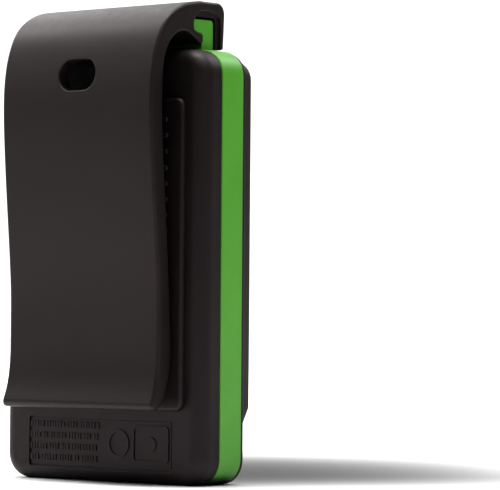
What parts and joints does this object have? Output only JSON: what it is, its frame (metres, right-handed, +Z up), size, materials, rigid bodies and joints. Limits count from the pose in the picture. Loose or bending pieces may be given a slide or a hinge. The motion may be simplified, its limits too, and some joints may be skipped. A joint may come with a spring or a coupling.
{
  "type": "avalanche transceiver",
  "caption": "Flat handheld avalanche transceiver with layered case, display, slide switch, sliding battery cover and a broad spring belt clip on a top rail.",
  "frame": {"origin": "centre of the overall box at the case's flat base", "axes": "+Z up the case towards the clip's bend, +Y towards the back (clip side), -Y towards the display, +X to the right seen from the display side"},
  "size_m": [0.069, 0.0306, 0.1226],
  "materials": {
    "shell_charcoal": "fine moulded texture, matte",
    "clip_charcoal": "smooth matte moulded plastic",
    "frame_green": "satin moulded plastic",
    "seal_rubber": "matte",
    "button_rubber": "matte soft touch",
    "knob_green": "satin",
    "window": "clear gloss",
    "display": "liquid crystal panel",
    "board": "solder mask",
    "component": "moulded package",
    "shield_metal": "tinned",
    "steel": "zinc plated",
    "membrane": "translucent silicone",
    "ferrite": "sintered",
    "copper": "enamelled wire",
    "speaker_can": "matte",
    "cell": "plain sleeve",
    "light": "frosted",
    "ribbon": "film"
  },
  "bodies": {
    "case": {"rear_shell": "shell_charcoal", "mid_frame": "frame_green", "front_shell": "shell_charcoal", "battery_seal": "seal_rubber", "case_seal_rear": "seal_rubber", "case_seal_front": "seal_rubber", "rear_screws": "steel", "front_screws": "steel", "board_screws": "steel", "display_lens": "window", "lens_gasket": "seal_rubber", "display_module": "display", "display_ribbon": "ribbon", "main_board": "board", "rf_shield": "shield_metal", "board_chips": "component", "clock_crystal": "shield_metal", "board_connectors": "component", "keypad_membrane": "membrane", "slide_switch": "component", "speaker": "speaker_can", "speaker_mesh": "steel", "light_pipe": "light", "status_led": "light", "battery_cell_left": "cell", "battery_cell_middle": "cell", "battery_cell_right": "cell", "battery_springs": "steel", "contacts_low": "steel", "contacts_high": "steel", "antenna_rod_long": "ferrite", "antenna_coil_long": "copper", "antenna_rod_cross": "ferrite", "antenna_coil_cross": "copper", "antenna_core_small": "ferrite", "antenna_coil_small": "copper", "antenna_saddles": "component"},
    "clip_head": {"clip_head": "clip_charcoal"},
    "clip_arm": {"clip_arm": "clip_charcoal"},
    "battery_cover": {"battery_cover": "shell_charcoal"},
    "mark_button": {"mark_button": "button_rubber"},
    "left_button": {"left_button": "button_rubber"},
    "right_button": {"right_button": "button_rubber"},
    "mode_knob": {"mode_knob": "knob_green"}
  },
  "joints": [
    {"name": "clip_slide", "type": "slide", "parent": "case", "child": "clip_head", "axis": [-1, 0, 0], "range_m": [0, 0.054]},
    {"name": "clip_flex", "type": "hinge", "parent": "clip_head", "child": "clip_arm", "pos_m": [0, 0.0131, 0.096], "axis": [1, 0, 0], "range_deg": [0, 6], "stiffness_Nm_per_rad": 6, "springref_deg": -1.72},
    {"name": "battery_cover_slide", "type": "slide", "parent": "case", "child": "battery_cover", "axis": [0, 0, -1], "range_m": [0, 0.006]},
    {"name": "mark_button_press", "type": "slide", "parent": "case", "child": "mark_button", "axis": [0, 1, 0], "range_m": [0, 0.0008], "stiffness_N_per_m": 1500, "springref_m": -0.0004},
    {"name": "left_button_press", "type": "slide", "parent": "case", "child": "left_button", "axis": [0, 1, 0], "range_m": [0, 0.0008], "stiffness_N_per_m": 1500, "springref_m": -0.0004},
    {"name": "right_button_press", "type": "slide", "parent": "case", "child": "right_button", "axis": [0, 1, 0], "range_m": [0, 0.0008], "stiffness_N_per_m": 1500, "springref_m": -0.0004},
    {"name": "mode_slide", "type": "slide", "parent": "case", "child": "mode_knob", "axis": [1, 0, 0], "range_m": [-0.0055, 0.0055]}
  ]
}
